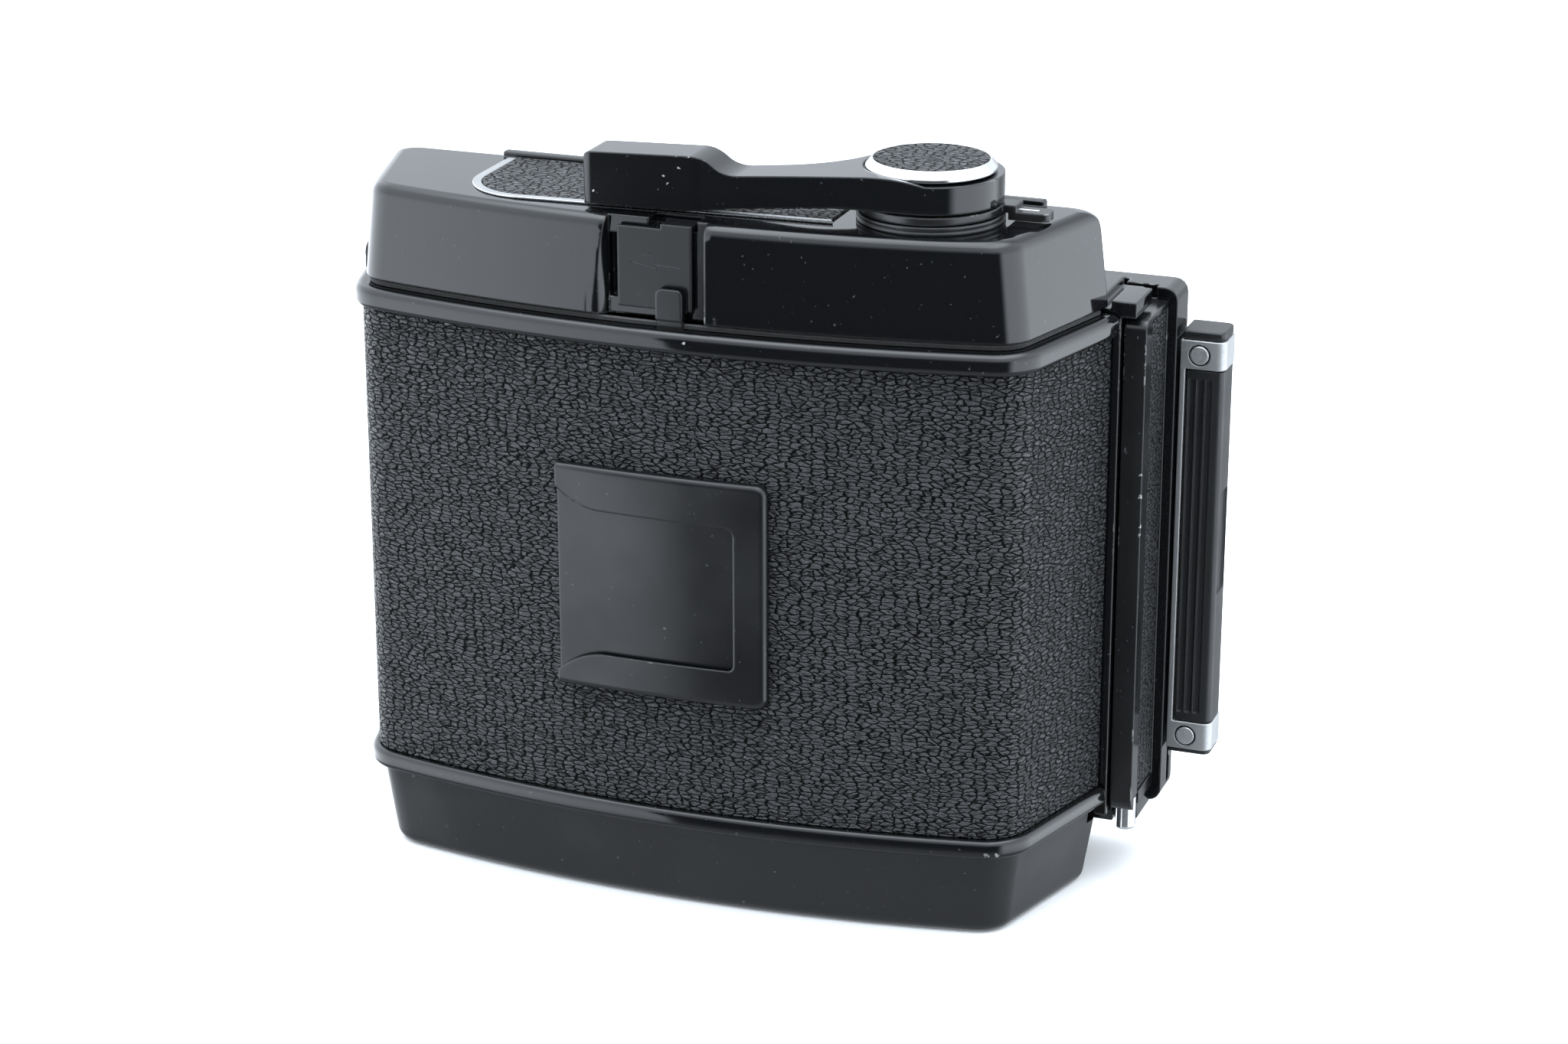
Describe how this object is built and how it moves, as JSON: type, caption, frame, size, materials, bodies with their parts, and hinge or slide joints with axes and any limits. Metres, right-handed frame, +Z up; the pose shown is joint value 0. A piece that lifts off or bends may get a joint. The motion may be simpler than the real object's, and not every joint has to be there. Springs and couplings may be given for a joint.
{
  "type": "medium format roll film back",
  "caption": "Roll film magazine with hinged rear cover, film advance lever, memo holder, film gate and removable dark slide with a ribbed handle.",
  "frame": {"origin": "middle of the flat underside of the base casting", "axes": "+Z up from the base to the lever, +Y towards the camera body that the gate faces, +X towards the dark slide handle"},
  "size_m": [0.1343, 0.0536, 0.1146],
  "materials": {
    "enamel": "glossy black enamel on light-alloy castings, small worn chips on the edges",
    "leatherette": "matt black grained leatherette",
    "chrome": "polished chrome",
    "satin_steel": "satin steel",
    "brass": "machined brass",
    "matte_black": "matt black moulding",
    "light_seal_felt": "black felt",
    "cast_alloy": "plain cast light alloy, blackened inside",
    "window": "clear flat window",
    "dial": "pale printed dial, left blank"
  },
  "bodies": {
    "chassis": {"main_frame": "enamel", "front_plate": "enamel", "light_trap": "light_seal_felt", "front_screw_1": "satin_steel", "front_screw_2": "satin_steel", "front_screw_3": "satin_steel", "front_screw_4": "satin_steel", "side_panel_right": "enamel", "side_covering_right": "leatherette", "side_pin_right": "chrome", "side_panel_left": "enamel", "side_covering_left": "leatherette", "side_pin_left": "chrome", "top_casting": "enamel", "top_deck": "cast_alloy", "top_trim": "chrome", "top_covering": "leatherette", "lever_collar": "enamel", "counter_bezel": "chrome", "counter_window": "window", "cassette_frame": "cast_alloy", "idler_post": "satin_steel", "counter_post": "satin_steel", "supply_pivot": "satin_steel"},
    "cover": {"rear_cover": "enamel", "rear_covering": "leatherette", "memo_plate": "enamel", "memo_frame": "enamel", "catch_tongue": "enamel", "base_casting": "enamel", "hinge_pin": "satin_steel", "light_seal": "light_seal_felt"},
    "latch": {"latch_plate": "enamel", "latch_spring": "satin_steel"},
    "lever": {"advance_lever": "enamel", "knob_ring": "chrome", "knob_covering": "leatherette", "lever_shaft": "brass", "return_spring": "satin_steel"},
    "release": {"release_ring": "enamel"},
    "idler": {"idler_gear": "brass"},
    "takeup": {"takeup_drive": "brass", "takeup_spool": "matte_black"},
    "counter": {"counter_dial": "dial"},
    "takeup_peg": {"takeup_stud": "satin_steel"},
    "supply_peg": {"supply_stud": "satin_steel"},
    "roller_right": {"film_roller_right": "satin_steel"},
    "roller_left": {"film_roller_left": "satin_steel"},
    "pressure": {"pressure_plate": "satin_steel", "plate_spring_upper": "satin_steel", "plate_spring_lower": "satin_steel"},
    "pin_upper": {"lock_pin_1": "satin_steel"},
    "pin_lower": {"lock_pin_2": "satin_steel"},
    "dark_slide": {"slide_sheet": "satin_steel", "handle_core": "satin_steel", "handle_grip": "matte_black", "handle_cap_upper": "matte_black", "handle_cap_lower": "matte_black", "handle_rivet_1": "satin_steel", "handle_rivet_2": "satin_steel"}
  },
  "joints": [
    {"name": "cover_hinge", "type": "hinge", "parent": "chassis", "child": "cover", "pos_m": [0, 0.0129, 0.0042], "axis": [1, 0, 0], "range_deg": [0, 95]},
    {"name": "latch_slide", "type": "slide", "parent": "chassis", "child": "latch", "axis": [-1, 0, 0], "range_m": [0, 0.0018], "stiffness_N_per_m": 300},
    {"name": "lever_swing", "type": "hinge", "parent": "chassis", "child": "lever", "pos_m": [0.0342, -0.001, 0.1066], "axis": [0, 0, 1], "range_deg": [0, 185], "stiffness_Nm_per_rad": 0.02},
    {"name": "release_turn", "type": "hinge", "parent": "chassis", "child": "release", "pos_m": [0.0342, -0.001, 0.1075], "axis": [0, 0, 1], "range_deg": [0, 12], "stiffness_Nm_per_rad": 0.05},
    {"name": "idler_turn", "type": "hinge", "parent": "chassis", "child": "idler", "pos_m": [0.0192, -0.001, 0.098], "axis": [0, 0, 1], "range_deg": [-277.5, 0]},
    {"name": "takeup_turn", "type": "hinge", "parent": "chassis", "child": "takeup", "pos_m": [0.0342, 0.0006, 0.05], "axis": [0, 0, 1], "range_deg": [0, 375.44]},
    {"name": "counter_turn", "type": "hinge", "parent": "chassis", "child": "counter", "pos_m": [0.003, 0.002, 0.1], "axis": [0, 0, 1], "range_deg": [0, 30]},
    {"name": "takeup_peg_slide", "type": "slide", "parent": "chassis", "child": "takeup_peg", "axis": [0, 0, -1], "range_m": [0, 0.004], "stiffness_N_per_m": 150},
    {"name": "supply_peg_slide", "type": "slide", "parent": "chassis", "child": "supply_peg", "axis": [0, 0, -1], "range_m": [0, 0.004], "stiffness_N_per_m": 150},
    {"name": "roller_right_spin", "type": "hinge", "parent": "chassis", "child": "roller_right", "pos_m": [0.0475, 0.0182, 0.05], "axis": [0, 0, 1], "continuous": true},
    {"name": "roller_left_spin", "type": "hinge", "parent": "chassis", "child": "roller_left", "pos_m": [-0.0475, 0.0182, 0.05], "axis": [0, 0, 1], "continuous": true},
    {"name": "pressure_slide", "type": "slide", "parent": "chassis", "child": "pressure", "axis": [0, -1, 0], "range_m": [0, 0.001], "stiffness_N_per_m": 700},
    {"name": "pin_upper_slide", "type": "slide", "parent": "chassis", "child": "pin_upper", "axis": [0, -1, 0], "range_m": [0, 0.0015], "stiffness_N_per_m": 200},
    {"name": "pin_lower_slide", "type": "slide", "parent": "chassis", "child": "pin_lower", "axis": [0, -1, 0], "range_m": [0, 0.0015], "stiffness_N_per_m": 200},
    {"name": "dark_slide_pull", "type": "slide", "parent": "chassis", "child": "dark_slide", "axis": [1, 0, 0], "range_m": [0, 0.105]}
  ],
  "couplings": [
    {"joint": "idler_turn", "follows": "lever_swing", "ratio": -1.5},
    {"joint": "takeup_turn", "follows": "lever_swing", "ratio": 2.0294},
    {"joint": "counter_turn", "follows": "lever_swing", "ratio": 0.16216}
  ]
}
